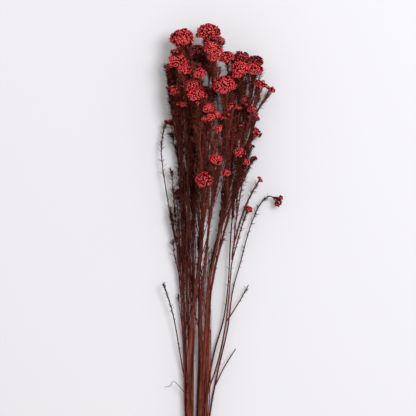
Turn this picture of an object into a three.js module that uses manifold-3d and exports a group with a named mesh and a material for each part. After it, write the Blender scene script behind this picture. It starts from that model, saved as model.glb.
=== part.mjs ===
// A bunch of dried rice flower lying on a flat surface, held by a plain elastic band.
// Millimetres. The cut ends point along -Y, the flower heads along +Y, and +Z is up.
// The origin is on the surface, under the middle of the bunch.

import * as THREE from "three";
import Module from "manifold-3d";

const wasm = await Module();
wasm.setup();

// Driving dimensions

const LENGTH = 600; // longest cut end to the top of the highest head
const SPREAD = 160; // left-most twig to the right-most head

const THICK_STEM = 7.0; // stem diameters where the bunch is tied
const STEM = 4.8;
const SLENDER_STEM = 3.4;
const WHIP = 2.6;
const BRANCH = 2.4; // side branch that carries a head
const TWIG = 1.8; // side twig that ends bare
const STEM_TAPER = 0.42; // tip diameter over base diameter
const BRANCH_TAPER = 0.7;

const HEAD_ACROSS = { large: 30, broad: 22, medium: 17, small: 13, tiny: 9 };
const NECK_LENGTH = 1.15; // rim of a head down to its neck, in head radii
const DOME_HEIGHT = 0.64; // rim of a head up to its crown, in head radii

const TIE_FROM_END = 40; // cut ends to the middle of the band
const BAND_WIDTH = 7;
const BAND_THICKNESS = 1.4;

const CLEARANCE = 0.5; // between strands, heads and band
const NECK_GAP = 0.3; // between a branch tip and the neck of its head

// Fineness of the solids

const KNOT_SPACING = 20; // along stems
const BRANCH_KNOT_SPACING = 14;
const STEM_SIDES = 6;
const BRANCH_SIDES = 5;
const HEAD_SIDES = 10;
const BAND_SIDES = 40;

// Drawn bunch: every place below is [across, along, height] in a bunch of these two sizes.
// A head leans from +Y towards +X by `lean` degrees and up from the surface by `rise` degrees.
// `cut` says how much shorter than the longest stem this one is cut.

const DRAWN = { length: 600, spread: 160 };

const STEMS = [
  {
    name: "stem_01", thick: WHIP, row: 1, cut: 14,
    route: [[-15, 90, 11], [-17, 160, 13], [-20, 230, 12], [-22, 290, 13], [-31, 330, 15],
      [-38, 371, 15], [-45, 415, 15], [-47, 445, 14]],
    head: { at: [-39, 474, 14], size: "tiny", lean: 30, rise: 10 },
    branches: [],
  },
  {
    name: "stem_02", thick: STEM, row: 0, cut: 6,
    route: [[-14, 90, 5], [-15, 185, 8], [-17, 230, 10], [-19, 300, 13], [-21, 397, 18], [-22, 433, 20],
      [-30, 470, 23], [-34, 511, 27]],
    head: { at: [-35, 546, 30], size: "small", lean: 0, rise: 15 },
    branches: [
      { from: 433, route: [[-24, 462, 26], [-25, 488, 30]],
        head: { at: [-29, 515, 34], size: "medium", lean: -5, rise: 20 } },
      { from: 420, route: [[-21, 475, 34], [-22, 525, 50]],
        head: { at: [-24, 551, 55], size: "broad", lean: -3, rise: 20 } },
      { from: 480, route: [[-27, 535, 38]],
        head: { at: [-29, 562, 40], size: "tiny", lean: -8, rise: 5 } },
      { from: 285, route: [[-20, 335, 9]],
        head: { at: [-22, 382, 0], size: "small", lean: -8, rise: 10 } },
      { from: 126, route: [[-24, 181, 13], [-31, 221, 16], [-45, 266, 19]] },
    ],
  },
  {
    name: "stem_03", thick: STEM, row: 0, cut: 0,
    route: [[-8, 90, 5], [-10, 182, 9], [-12, 230, 14], [-14, 270, 18], [-12, 350, 27], [-11, 436, 34],
      [-10, 500, 39], [-14, 548, 44]],
    head: { at: [-20, 583, 46], size: "large", lean: -12, rise: 15 },
    branches: [
      { from: 410, route: [[-13, 451, 42]],
        head: { at: [-15, 496, 50], size: "small", lean: -4, rise: 25 } },
      { from: 470, route: [[-14, 508, 60]],
        head: { at: [-18, 539, 75], size: "small", lean: -5, rise: 30 } },
    ],
  },
  {
    name: "stem_04", thick: STEM, row: 1, cut: 10,
    route: [[-6, 90, 10], [-5, 189, 9], [-5, 280, 10], [-4, 371, 12], [-3, 436, 12], [-1, 510, 12]],
    head: { at: [1, 568, 0], size: "broad", lean: 4, rise: 12 },
    branches: [
      { from: 338, route: [[-8, 384, 12], [-9, 435, 12]],
        head: { at: [-8, 472, 0], size: "medium", lean: -3, rise: 15 } },
      { from: 400, route: [[5, 449, 12]],
        head: { at: [10, 514, 0], size: "broad", lean: 5, rise: 15 } },
    ],
  },
  {
    name: "stem_05", thick: THICK_STEM, row: 2, cut: 4,
    route: [[-10, 90, 14], [-8, 182, 18], [-6, 221, 21], [-1, 260, 25], [5, 300, 31],
      [7, 345, 39], [5, 410, 52], [1, 470, 70]],
    head: { at: [-1, 508, 82], size: "broad", lean: -4, rise: 35 },
    branches: [
      { from: 416, route: [[-4, 470, 52]],
        head: { at: [-4, 520, 60], size: "broad", lean: 0, rise: 25 } },
      { from: 400, route: [[10, 464, 60], [9, 505, 72]],
        head: { at: [4, 535, 80], size: "medium", lean: -12, rise: 45 } },
      { from: 310, route: [[10, 355, 54]],
        head: { at: [9, 398, 75], size: "broad", lean: -3, rise: 45 } },
    ],
  },
  {
    name: "stem_06", thick: STEM, row: 0, cut: 12,
    route: [[1, 90, 5], [3, 150, 8], [3, 240, 15], [5, 320, 21], [11, 436, 33], [15, 500, 40],
      [16, 550, 45]],
    head: { at: [15, 590, 46], size: "large", lean: 0, rise: 18 },
    branches: [
      { from: 460, route: [[20, 507, 52], [21, 537, 62]],
        head: { at: [20, 566, 70], size: "broad", lean: -2, rise: 25 } },
      { from: 530, route: [[24, 563, 39]],
        head: { at: [32, 580, 38], size: "small", lean: 45, rise: 10 } },
    ],
  },
  {
    name: "stem_07", thick: THICK_STEM, row: 2, cut: 8,
    route: [[4, 90, 16], [7, 150, 20], [5, 202, 25], [5, 240, 29], [12, 298, 37], [16, 342, 46],
      [22, 390, 58]],
    head: { at: [25, 424, 72], size: "medium", lean: 6, rise: 40 },
    branches: [
      { from: 360, route: [[20, 416, 60], [18, 455, 70]],
        head: { at: [16, 490, 84], size: "medium", lean: -4, rise: 35 } },
      { from: 345, route: [[13, 407, 52], [12, 446, 62]],
        head: { at: [12, 476, 70], size: "small", lean: 4, rise: 30 } },
      { from: 355, route: [[28, 399, 48], [29, 436, 54]],
        head: { at: [27, 463, 64], size: "small", lean: -6, rise: 30 } },
      { from: 385, route: [[34, 436, 44]],
        head: { at: [31, 480, 56], size: "small", lean: -6, rise: 30 } },
    ],
  },
  {
    name: "stem_08", thick: THICK_STEM, row: 1, cut: 0,
    route: [[6, 90, 9], [9, 150, 12], [13, 221, 16], [15, 259, 19], [23, 298, 24], [30, 334, 29],
      [38, 390, 38],
      [39, 449, 48], [37, 485, 58]],
    head: { at: [35, 521, 70], size: "large", lean: -5, rise: 30 },
    branches: [
      { from: 330, route: [[40, 364, 46]],
        head: { at: [38, 407, 62], size: "small", lean: -8, rise: 35 } },
      { from: 435, route: [[43, 488, 46], [43, 524, 46]],
        head: { at: [38, 557, 47], size: "broad", lean: -10, rise: 20 } },
      { from: 420, route: [[46, 475, 34], [47, 510, 30]],
        head: { at: [46, 536, 26], size: "small", lean: -2, rise: 15 } },
      { from: 390, route: [[45, 433, 46]],
        head: { at: [46, 493, 50], size: "medium", lean: -5, rise: 25 } },
    ],
  },
  {
    name: "stem_09", thick: STEM, row: 0, cut: 16,
    route: [[7, 90, 4], [12, 170, 5], [15, 259, 7], [22, 298, 10], [30, 334, 14],
      [42, 390, 18], [54, 488, 24], [56, 520, 24]],
    head: { at: [58, 558, 22], size: "broad", lean: 5, rise: 12 },
    branches: [
      { from: 440, route: [[55, 485, 48], [57, 514, 60]],
        head: { at: [57, 543, 70], size: "broad", lean: 0, rise: 30 } },
      { from: 430, route: [[60, 475, 34]],
        head: { at: [64, 503, 39], size: "small", lean: 12, rise: 20 } },
    ],
  },
  {
    name: "stem_10", thick: STEM, row: 1, cut: 5,
    route: [[12, 90, 10], [15, 150, 9], [18, 250, 13], [27, 298, 17], [37, 334, 22],
      [51, 397, 30], [60, 460, 39], [68, 503, 46]],
    head: { at: [74, 541, 50], size: "broad", lean: 8, rise: 20 },
    branches: [
      { from: 460, route: [[70, 501, 26], [75, 527, 18]],
        head: { at: [77, 553, 0], size: "broad", lean: 8, rise: 10 } },
      { from: 440, route: [[71, 481, 40], [80, 502, 42]],
        head: { at: [84, 522, 43], size: "medium", lean: 15, rise: 15 } },
      { from: 445, route: [[77, 485, 30], [90, 505, 28]],
        head: { at: [97, 516, 27], size: "small", lean: 32, rise: 10 } },
      { from: 420, route: [[64, 458, 44]],
        head: { at: [71, 489, 49], size: "small", lean: 8, rise: 20 } },
    ],
  },
  {
    name: "stem_11", thick: SLENDER_STEM, row: 0, cut: 9,
    route: [[13, 90, 5], [15, 130, 6], [24, 178, 8], [35, 214, 9], [41, 259, 10], [45, 332, 12],
      [52, 390, 15], [66, 436, 18]],
    head: { at: [78, 460, 20], size: "medium", lean: 40, rise: 12 },
    branches: [
      { from: 390, route: [[64, 436, 12], [72, 462, 8]],
        head: { at: [76, 479, 0], size: "small", lean: 12, rise: 10 } },
      { from: 370, route: [[64, 408, 9]],
        head: { at: [76, 427, 0], size: "tiny", lean: 30, rise: 5 } },
    ],
  },
  {
    name: "stem_12", thick: SLENDER_STEM, row: 2, cut: 3,
    route: [[11, 90, 18], [15, 123, 20], [25, 150, 20], [36, 199, 21], [42, 247, 23], [46, 297, 28],
      [50, 335, 32], [57, 381, 40], [61, 403, 44]],
    head: { at: [64, 421, 47], size: "small", lean: 10, rise: 25 },
    branches: [
      { from: 345, route: [[53, 390, 44]],
        head: { at: [55, 434, 50], size: "medium", lean: 3, rise: 25 } },
      { from: 305, route: [[57, 346, 33], [70, 378, 29]],
        head: { at: [83, 399, 26], size: "tiny", lean: 35, rise: 15 } },
      { from: 290, route: [[58, 335, 19]],
        head: { at: [67, 360, 12], size: "small", lean: 20, rise: 10 } },
      { from: 210, route: [[52, 233, 17], [67, 258, 12]] },
    ],
  },
  {
    name: "stem_13", thick: WHIP, row: 0, cut: 11,
    route: [[17, 90, 4], [28, 150, 5], [41, 205, 6], [47, 254, 7], [57, 289, 8], [69, 334, 10],
      [84, 370, 12], [92, 384, 13]],
    branches: [
      { from: 376, route: [],
        head: { at: [107, 370, 14], size: "medium", lean: 125, rise: 5 } },
      { from: 125, route: [[37, 155, 11], [53, 180, 13]] },
    ],
  },
];

const place = ([across, along, height]) => new THREE.Vector3(
  across * SPREAD / DRAWN.spread, along * LENGTH / DRAWN.length, height);

// Tie: the stems lie side by side in three rows on the inside of the band

function packTie() {
  const slots = new Map();
  let floor = BAND_THICKNESS + CLEARANCE;
  for (const row of [0, 1, 2]) {
    const stems = STEMS.filter((stem) => stem.row === row);
    const width = stems.reduce((sum, stem) => sum + stem.thick + CLEARANCE, -CLEARANCE);
    const middle = stems.reduce((sum, stem) => sum + place(stem.route[0]).x, 0) / stems.length;
    let left = middle / 2 - width / 2;
    for (const stem of stems.sort((a, b) => a.route[0][0] - b.route[0][0])) {
      slots.set(stem.name, { x: left + stem.thick / 2, z: floor + stem.thick / 2 });
      left += stem.thick + CLEARANCE;
    }
    floor += Math.max(...stems.map((stem) => stem.thick)) + CLEARANCE;
  }
  return slots;
}

// Heads: where the neck of a head starts, and which way the head points

function aim(head) {
  const lean = THREE.MathUtils.degToRad(head.lean);
  const rise = THREE.MathUtils.degToRad(head.rise);
  return new THREE.Vector3(
    Math.sin(lean) * Math.cos(rise), Math.cos(lean) * Math.cos(rise), Math.sin(rise));
}

const headRadius = (head) => HEAD_ACROSS[head.size] / 2;

// Outline of a head as [distance from its axis, height over its rim]
function headOutline(head) {
  const radius = headRadius(head);
  const neck = BRANCH / 2 * BRANCH_TAPER;
  return [
    [0, -NECK_LENGTH * radius], [neck, -NECK_LENGTH * radius], [neck, -0.95 * radius],
    [0.9 * radius, -0.16 * radius], [radius, 0.04 * radius], [0.9 * radius, 0.3 * radius],
    [0.58 * radius, 0.53 * radius], [0, DOME_HEIGHT * radius],
  ];
}

// How far a head reaches below its centre
function headDepth(head) {
  const rise = THREE.MathUtils.degToRad(head.rise);
  return Math.max(...headOutline(head).map(([out, h]) => out * Math.cos(rise) - h * Math.sin(rise)));
}

function headCentre(head) {
  const centre = place(head.at);
  return centre.setZ(Math.max(centre.z, headDepth(head)));
}

const neckFoot = (head) =>
  headCentre(head).addScaledVector(aim(head), -NECK_LENGTH * headRadius(head));

// Strands: a stem or a branch as a row of knots, and the links between them

function knot(at, radius) {
  return { at, radius, depth: radius, pinned: false, drawnHeight: at.z };
}

function spacedPoints(points, spacing) {
  const curve = new THREE.CatmullRomCurve3(points, false, "centripetal");
  return curve.getSpacedPoints(Math.max(2, Math.round(curve.getLength() / spacing)));
}

function makeStrand({ name, tree, points, thick, taper, sides, head, joint = null }) {
  const knots = points.map((at, i) =>
    knot(at, thick / 2 * THREE.MathUtils.lerp(1, taper, i / (points.length - 1))));
  if (!head) return { name, tree, knots, sides, joint };
  const centre = { ...knot(headCentre(head), headRadius(head)), depth: headDepth(head) };
  return { name, tree, knots, sides, joint, head: { ...head, centre } };
}

function routePoints({ route, head }) {
  const points = route.map(place);
  if (head) points.push(neckFoot(head).addScaledVector(aim(head), -NECK_GAP));
  return points;
}

function growStem(stem, slot) {
  const before = new THREE.Vector3(slot.x, TIE_FROM_END - BAND_WIDTH, slot.z);
  const after = new THREE.Vector3(slot.x, TIE_FROM_END + BAND_WIDTH, slot.z);
  const end = new THREE.Vector3(slot.x, stem.cut, slot.z);
  const upper = spacedPoints([after, ...routePoints(stem)], KNOT_SPACING);
  const strand = makeStrand({
    name: stem.name, tree: stem.name, points: [end, before, ...upper], thick: stem.thick, taper: STEM_TAPER,
    sides: STEM_SIDES, head: stem.head,
  });
  for (const tied of strand.knots.slice(0, 3)) tied.pinned = true;
  return strand;
}

function growBranch(branch, parent) {
  const along = branch.from * LENGTH / DRAWN.length;
  const above = parent.knots.findIndex((knot) => knot.at.y > along);
  const [low, high] = [parent.knots[above - 1], parent.knots[above]];
  const share = (along - low.at.y) / (high.at.y - low.at.y);
  const start = low.at.clone().lerp(high.at, share);
  return makeStrand({
    name: `${parent.name} ${branch.from}`, tree: parent.tree,
    points: spacedPoints([start, ...routePoints(branch)], BRANCH_KNOT_SPACING),
    thick: branch.head ? BRANCH : TWIG, taper: BRANCH_TAPER, sides: BRANCH_SIDES,
    head: branch.head, joint: { low, high, share },
  });
}

// Settling: strands and heads that are too close are moved apart, up and down only, so that
// the bunch keeps its outline from above

const SETTLE_ROUNDS = 500;
const SMOOTH_ROUNDS = 350; // the first rounds also spread each move along the strand
const JOINT_REACH = 40; // near a fork the pieces of one stem may run into each other
const SAME_SIDE_SPAN = 80;

function linksOf(strand) {
  let reach = strand.joint ? 0 : Infinity;
  const links = strand.knots.slice(1).map((to, i) => {
    const from = strand.knots[i];
    reach += from.at.distanceTo(to.at);
    return { from, to, radius: from.radius, strand, tree: strand.tree, reach };
  });
  if (strand.head) {
    const { centre } = strand.head;
    links.push({ from: centre, to: centre, radius: centre.radius, strand, tree: strand.tree,
      reach: Infinity });
  }
  return links;
}

function nearest(a, b) {
  const points = [new THREE.Vector3(), new THREE.Vector3()];
  const lineA = new THREE.Line3(a.from.at, a.to.at);
  const lineB = new THREE.Line3(b.from.at, b.to.at);
  const distance = Math.sqrt(lineA.distanceSqToLine3(lineB, ...points));
  return { points, distance };
}

function planDistance(a, b) {
  const flat = ({ from, to }) => ({
    from: { at: from.at.clone().setZ(0) }, to: { at: to.at.clone().setZ(0) } });
  return nearest(flat(a), flat(b)).distance;
}

const isHead = (link) => link.from === link.to;

function findPairs(links) {
  const pairs = [];
  links.forEach((a, i) => links.slice(i + 1).forEach((b) => {
    if (a.strand === b.strand) return;
    const bothTubes = !isHead(a) && !isHead(b);
    if (bothTubes && a.tree === b.tree && Math.min(a.reach, b.reach) < JOINT_REACH) return;
    const need = a.radius + b.radius + CLEARANCE;
    if (Math.abs(a.from.at.y - b.from.at.y) > need + 2 * KNOT_SPACING) return;
    if (planDistance(a, b) >= need) return;
    const { points: [onA, onB] } = nearest(a, b);
    const between = [a, b].map((one) => `${one.strand.name} ${isHead(one)}`).join();
    pairs.push({ a, b, need, between, along: onA.y, gap: onA.z - onB.z });
  }));
  return pairs;
}

// Two strands keep the same one on top for as long as they run beside each other
function chooseSides(pairs) {
  for (const passing of Map.groupBy(pairs, (pair) => pair.between).values()) {
    for (const pair of passing) {
      const beside = passing.filter((other) => Math.abs(other.along - pair.along) < SAME_SIDE_SPAN);
      pair.order = beside.reduce((sum, other) => sum + other.gap, 0) >= 0 ? 1 : -1;
    }
  }
}

function shift(link, point, rise) {
  const length = link.from.at.distanceTo(link.to.at);
  const t = length > 0 ? link.from.at.distanceTo(point) / length : 0;
  const scale = 1 / ((1 - t) ** 2 + t ** 2);
  if (!link.from.pinned) link.from.at.z += rise * (1 - t) * scale;
  if (!link.to.pinned) link.to.at.z += rise * t * scale;
}

function moveApart({ a, b, need, order }) {
  const { points: [onA, onB], distance } = nearest(a, b);
  if (distance >= need) return;
  const flat = Math.hypot(onA.x - onB.x, onA.y - onB.y);
  const wanted = Math.sqrt(Math.max(0, need ** 2 - flat ** 2)) * order;
  const rise = (wanted - (onA.z - onB.z)) / 2;
  shift(a, onA, rise);
  shift(b, onB, -rise);
}

const lift = (knot) => knot.at.z - knot.drawnHeight;

function tidyStrand(strand, smoothing) {
  const { knots, joint, head } = strand;
  if (joint) {
    knots[0].at.z = THREE.MathUtils.lerp(joint.low.at.z, joint.high.at.z, joint.share);
  }
  for (let i = 1; i < knots.length - 1; i++) {
    if (knots[i].pinned) continue;
    const even = (lift(knots[i - 1]) + lift(knots[i + 1])) / 2;
    knots[i].at.z += smoothing * (even - lift(knots[i]));
  }
  if (head) {
    const tip = knots.at(-1);
    const shared = (lift(tip) + lift(head.centre)) / 2;
    tip.at.z = tip.drawnHeight + shared;
    head.centre.at.z = head.centre.drawnHeight + shared;
  }
  for (const knot of head ? [...knots, head.centre] : knots) {
    knot.at.z = Math.max(knot.at.z, knot.depth);
  }
}

function settle(strands) {
  const pairs = findPairs(strands.flatMap(linksOf));
  chooseSides(pairs);
  for (let round = 0; round < SETTLE_ROUNDS; round++) {
    pairs.forEach(moveApart);
    const smoothing = 0.3 * Math.max(0, 1 - round / SMOOTH_ROUNDS);
    strands.forEach((strand) => tidyStrand(strand, smoothing));
  }
}

// Solids

// The last face of a tube that carries a head lies flat against the head's neck
function directionAt({ knots, head }, k) {
  if (head && k === knots.length - 1) return aim(head);
  const ahead = knots[Math.min(k + 1, knots.length - 1)].at;
  const behind = knots[Math.max(k - 1, 0)].at;
  return ahead.clone().sub(behind).normalize();
}

function tubeGeometry(strand) {
  const { knots, sides } = strand;
  const up = new THREE.Vector3(0, 0, 1);
  const positions = [];
  const index = [];
  knots.forEach(({ at, radius }, k) => {
    const along = directionAt(strand, k);
    const across = along.clone().cross(up).normalize();
    const over = across.clone().cross(along);
    for (let s = 0; s < sides; s++) {
      const angle = 2 * Math.PI * s / sides;
      const point = at.clone().addScaledVector(across, radius * Math.cos(angle))
        .addScaledVector(over, radius * Math.sin(angle));
      positions.push(...point);
    }
  });
  const ring = (k, s) => k * sides + s % sides;
  const last = knots.length - 1;
  for (let s = 0; s < sides; s++) {
    for (let k = 0; k < last; k++) {
      const [a, b, c, d] = [ring(k, s), ring(k, s + 1), ring(k + 1, s + 1), ring(k + 1, s)];
      index.push(a, c, b, a, d, c);
    }
    if (s > 0 && s < sides - 1) {
      index.push(ring(0, 0), ring(0, s), ring(0, s + 1));
      index.push(ring(last, 0), ring(last, s + 1), ring(last, s));
    }
  }
  const geometry = new THREE.BufferGeometry();
  geometry.setAttribute("position", new THREE.Float32BufferAttribute(positions, 3));
  geometry.setIndex(index);
  return geometry;
}

function joinSolids(geometries) {
  const solids = geometries.map((geometry) => new wasm.Manifold(new wasm.Mesh({
    numProp: 3,
    vertProperties: geometry.attributes.position.array,
    triVerts: Uint32Array.from(geometry.index.array),
  })));
  const { vertProperties, triVerts } = solids.reduce((all, one) => all.add(one)).getMesh();
  const joined = new THREE.BufferGeometry();
  joined.setAttribute("position", new THREE.BufferAttribute(vertProperties, 3));
  joined.setIndex(new THREE.BufferAttribute(triVerts, 1));
  joined.computeVertexNormals();
  return joined;
}

function headGeometry(head) {
  return new THREE.LatheGeometry(
    headOutline(head).map(([out, h]) => new THREE.Vector2(out, h)), HEAD_SIDES);
}

function bandGeometry(stemStrands) {
  const near = TIE_FROM_END - BAND_WIDTH / 2;
  const far = TIE_FROM_END + BAND_WIDTH / 2;
  const sections = stemStrands.flatMap(({ knots }) => [near, far].map((along) => {
    const above = knots.findIndex((knot) => knot.at.y > along);
    const [low, high] = [knots[above - 1], knots[above]];
    const share = (along - low.at.y) / (high.at.y - low.at.y);
    return { at: low.at.clone().lerp(high.at, share), radius: low.radius };
  }));
  const outline = (offset) => Array.from({ length: BAND_SIDES }, (_, i) => {
    const angle = 2 * Math.PI * i / BAND_SIDES;
    const [x, z] = [Math.cos(angle), Math.sin(angle)];
    const reach = ({ at, radius }) => at.x * x + at.z * z + radius;
    const outermost = sections.reduce((best, one) => (reach(one) > reach(best) ? one : best));
    const out = outermost.radius + offset;
    return new THREE.Vector2(outermost.at.x + out * x, outermost.at.z + out * z);
  });
  const shape = new THREE.Shape(outline(CLEARANCE + BAND_THICKNESS));
  shape.holes.push(new THREE.Path(outline(CLEARANCE)));
  const geometry = new THREE.ExtrudeGeometry(shape, { depth: BAND_WIDTH, bevelEnabled: false });
  return geometry.rotateX(Math.PI / 2).translate(0, far, 0);
}

// Materials

const bark = (colour) => new THREE.MeshStandardMaterial({
  color: colour, roughness: 0.8, metalness: 0 });
const bloom = (colour) => new THREE.MeshStandardMaterial({
  color: colour, roughness: 0.7, metalness: 0 });
const elastic = new THREE.MeshStandardMaterial({ color: 0xb08a58, roughness: 0.5, metalness: 0 });

const BARK_COLOURS = { deep: 0x431613, mid: 0x64251c, bright: 0x87392a };
const BLOOM_COLOURS = { shaded: 0x7d141c, lit: 0xc42f35 };

function barkFor(stem) {
  if (stem.thick === THICK_STEM) return bark(BARK_COLOURS.bright);
  return bark(stem.row === 0 ? BARK_COLOURS.deep : BARK_COLOURS.mid);
}

// Assembly

const slots = packTie();
const trees = STEMS.map((stem) => {
  const trunk = growStem(stem, slots.get(stem.name));
  return { stem, trunk, strands: [trunk, ...stem.branches.map((one) => growBranch(one, trunk))] };
});
settle(trees.flatMap((tree) => tree.strands));

const bunch = new THREE.Group();

function addMesh(name, geometry, material) {
  const mesh = new THREE.Mesh(geometry, material);
  mesh.name = name;
  bunch.add(mesh);
  return mesh;
}

// A head stands on its neck with one corner of its rim straight down
function turnHead(mesh, head) {
  const axis = aim(head);
  const up = new THREE.Vector3(0, 0, 1).projectOnPlane(axis).normalize();
  const side = axis.clone().cross(up);
  mesh.quaternion.setFromRotationMatrix(new THREE.Matrix4().makeBasis(side, axis, up));
}

for (const { stem, strands } of trees) {
  addMesh(stem.name, joinSolids(strands.map(tubeGeometry)), barkFor(stem));
  strands.filter((strand) => strand.head).forEach(({ head }, i) => {
    const letter = "abcdefgh"[i];
    const shade = head.rise >= 25 ? BLOOM_COLOURS.lit : BLOOM_COLOURS.shaded;
    const name = stem.name.replace("stem", "head") + letter;
    const mesh = addMesh(name, headGeometry(head), bloom(shade));
    turnHead(mesh, head);
    mesh.position.copy(head.centre.at);
  });
}
addMesh("band", bandGeometry(trees.map(({ trunk }) => trunk)), elastic);

const box = new THREE.Box3().setFromObject(bunch, true);
const middle = box.getCenter(new THREE.Vector3());
bunch.position.set(-middle.x, -middle.y, -box.min.z);

export default bunch;
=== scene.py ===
# %% [markdown]
# # A bunch of dried rice flower
# Rice flower is a shrub with woody red-brown stems, short needle leaves and domed heads of tiny papery
# buds. Here a dyed red bunch of it lies on a pale table, tied with an elastic near its cut ends.
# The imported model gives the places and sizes: every stem, head and band is read from it, and grown
# again with finer detail. All lengths are in metres, so small ones are written as a number times MM.

import bpy
import numpy as np
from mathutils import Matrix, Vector


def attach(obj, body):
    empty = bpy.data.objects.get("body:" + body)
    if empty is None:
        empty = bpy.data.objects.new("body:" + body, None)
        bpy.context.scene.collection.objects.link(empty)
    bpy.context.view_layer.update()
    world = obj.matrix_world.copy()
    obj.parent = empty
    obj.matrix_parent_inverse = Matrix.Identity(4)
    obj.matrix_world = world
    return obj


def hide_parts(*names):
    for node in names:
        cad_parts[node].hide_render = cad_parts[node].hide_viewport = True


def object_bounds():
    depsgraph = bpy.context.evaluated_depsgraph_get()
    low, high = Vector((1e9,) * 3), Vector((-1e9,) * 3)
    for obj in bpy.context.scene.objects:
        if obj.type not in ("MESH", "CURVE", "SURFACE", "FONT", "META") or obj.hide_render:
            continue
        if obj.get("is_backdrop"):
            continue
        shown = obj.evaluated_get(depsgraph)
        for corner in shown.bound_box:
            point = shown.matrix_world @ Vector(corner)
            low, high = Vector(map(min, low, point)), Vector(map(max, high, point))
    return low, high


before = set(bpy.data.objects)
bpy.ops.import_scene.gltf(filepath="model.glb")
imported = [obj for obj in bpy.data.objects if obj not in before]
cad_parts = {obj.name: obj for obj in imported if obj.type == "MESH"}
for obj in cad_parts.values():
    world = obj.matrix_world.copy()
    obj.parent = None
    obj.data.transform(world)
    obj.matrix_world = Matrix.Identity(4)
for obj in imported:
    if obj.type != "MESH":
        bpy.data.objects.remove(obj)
cad_low, cad_high = (np.array(corner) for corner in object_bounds())
MM = 0.001
MID_ACROSS = (cad_low[0] + cad_high[0]) / 2
print("CAD box in mm:", np.round((cad_high - cad_low) / MM, 1))

# %% [markdown]
# ## From arrays to a mesh
# A bunch has tens of thousands of leaves and buds, far too many to place by hand or as objects of their
# own, so they are worked out as arrays and joined into a few meshes. Blender keeps a mesh as flat lists. A
# piece here is a list of patches, and a patch holds its points, its faces as rows of point numbers, and for
# each point a shade from 0 to 1 and how far along its part it lies. Joining patches only needs each one's
# faces moved on by the number of points before it.

# %% Patches and pieces
def patch(points, faces, shade=0.5, along=0.0, finish=0):
    """A bit of surface. Every point gets the given shade and place along its part."""
    points = np.asarray(points, float).reshape(-1, 3)
    count = len(points)
    return {
        "points": points,
        "faces": [np.asarray(rows, int) for rows in faces],
        "finish": list(np.broadcast_to(finish, len(faces))),
        "shade": np.broadcast_to(shade, count).astype(float),
        "along": np.broadcast_to(along, count).astype(float),
    }


def add_piece(name, patches, materials, nodes):
    """Joins patches into one object that stands for some CAD nodes and rides on the root body.
    Every point's height is the greater of its own and 0, so that nothing sinks into the table."""
    starts = np.cumsum([0] + [len(part["points"]) for part in patches])
    rows = [rows + start for part, start in zip(patches, starts) for rows in part["faces"]]
    finishes = [np.full(len(rows), finish) for part in patches
                for rows, finish in zip(part["faces"], part["finish"])]
    mesh = bpy.data.meshes.new(name)
    points = np.concatenate([part["points"] for part in patches])
    points[:, 2] = np.maximum(points[:, 2], 0)
    sizes = np.concatenate([np.full(len(face_rows), face_rows.shape[1]) for face_rows in rows])
    corners = np.concatenate([face_rows.ravel() for face_rows in rows])
    mesh.vertices.add(len(points))
    mesh.vertices.foreach_set("co", points.ravel())
    mesh.loops.add(len(corners))
    mesh.loops.foreach_set("vertex_index", corners.astype(np.int32))
    mesh.polygons.add(len(sizes))
    mesh.polygons.foreach_set("loop_start", (np.cumsum(sizes) - sizes).astype(np.int32))
    mesh.polygons.foreach_set("material_index", np.concatenate(finishes).astype(np.int32))
    mesh.update(calc_edges=True)
    mesh.shade_smooth()
    for key in ("shade", "along"):
        values = np.concatenate([part[key] for part in patches]).astype(np.float32)
        mesh.attributes.new(key, "FLOAT", "POINT").data.foreach_set("value", values)
    for material in materials:
        mesh.materials.append(material)
    piece = bpy.data.objects.new(name, mesh)
    bpy.context.scene.collection.objects.link(piece)
    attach(piece, "root")
    if nodes:
        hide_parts(*nodes)
    return piece


# %% [markdown]
# ## Tubes, many at once
# Stems, stalks and needle leaves are all thin tubes that follow a curve. Blender's curves with a bevel
# could make them one by one. Here one function makes any number of them together, with a radius for each
# ring: it carries a ring of points along each path, square to the path, and closes both ends with a point
# in the middle of the first and the last ring.

# %% Carry rings along paths
def unit(vectors):
    """Each vector divided by its own length."""
    return vectors / np.maximum(np.linalg.norm(vectors, axis=-1, keepdims=True), 1e-12)


def side_vectors(paths):
    """Each path's unit direction at each of its points, and two unit vectors square to it. The first of
    them is the direction crossed with the axis that the path's chord follows least, and the second
    completes the right angle."""
    tangent = unit(np.gradient(paths, axis=1))
    chord = np.abs(paths[:, -1] - paths[:, 0])
    least = np.eye(3)[np.argmin(chord, axis=1)][:, None, :]
    side = unit(np.cross(tangent, least))
    return tangent, side, np.cross(side, tangent)


def tube_faces(count, rings, sides):
    """Faces of `count` tubes stored one after another, each as its rings and then two end points."""
    ring, side = np.meshgrid(np.arange(rings - 1), np.arange(sides), indexing="ij")
    near, far = ring * sides + side, ring * sides + (side + 1) % sides
    quads = np.stack([near, far, far + sides, near + sides], -1).reshape(-1, 4)
    first = np.arange(sides)
    after = (first + 1) % sides
    last = (rings - 1) * sides
    foot = np.stack([after, first, np.full(sides, rings * sides)], -1)
    tip = np.stack([last + first, last + after, np.full(sides, rings * sides + 1)], -1)
    size = rings * sides + 2
    starts = (np.arange(count) * size)[:, None, None]
    return (quads + starts).reshape(-1, 4), (np.concatenate([foot, tip]) + starts).reshape(-1, 3)


def tubes(paths, radii, sides, swell=0.0):
    """Points of closed tubes. A ring point is the path's point plus the radius times
    (cos a * side vector + sin a * other side vector), for angles a evenly round the ring.
    `swell` adds a share of the radius, ring by ring and side by side."""
    _, side, over = side_vectors(paths)
    angle = 2 * np.pi * np.arange(sides) / sides
    spoke = (side[:, :, None] * np.cos(angle)[:, None] + over[:, :, None] * np.sin(angle)[:, None])
    rings = paths[:, :, None] + spoke * (radii[:, :, None] * (1 + swell))[..., None]
    ends = paths[:, [0, -1]]
    return np.concatenate([rings.reshape(len(paths), -1, 3), ends], axis=1)


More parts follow.
